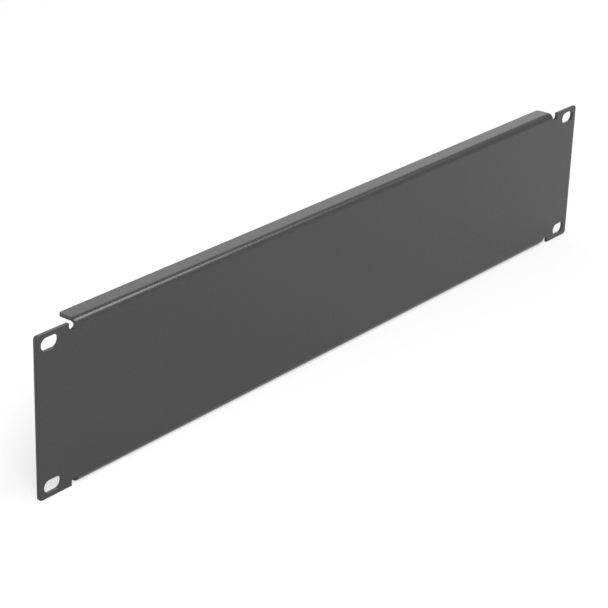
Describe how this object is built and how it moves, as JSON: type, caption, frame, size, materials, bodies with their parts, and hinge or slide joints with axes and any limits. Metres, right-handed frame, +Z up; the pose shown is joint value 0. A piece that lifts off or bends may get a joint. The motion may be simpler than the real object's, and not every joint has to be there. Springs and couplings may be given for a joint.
{
  "type": "blanking panel",
  "caption": "Folded sheet-steel cover for an empty rack bay: a flat front with slotted ears, bend-relief notches and two flanges along its back.",
  "frame": {"origin": "middle of the four fixing slots, on the ears' back face, which bears on the rack's rails", "axes": "+X along the panel, +Y from the front to the back, into the rack, +Z up"},
  "size_m": [0.4826, 0.0124, 0.0888],
  "materials": {
    "powder_coat": "satin dark grey powder coat on sheet steel"
  },
  "bodies": {
    "root": {"blanking_panel": "powder_coat"}
  },
  "joints": []
}
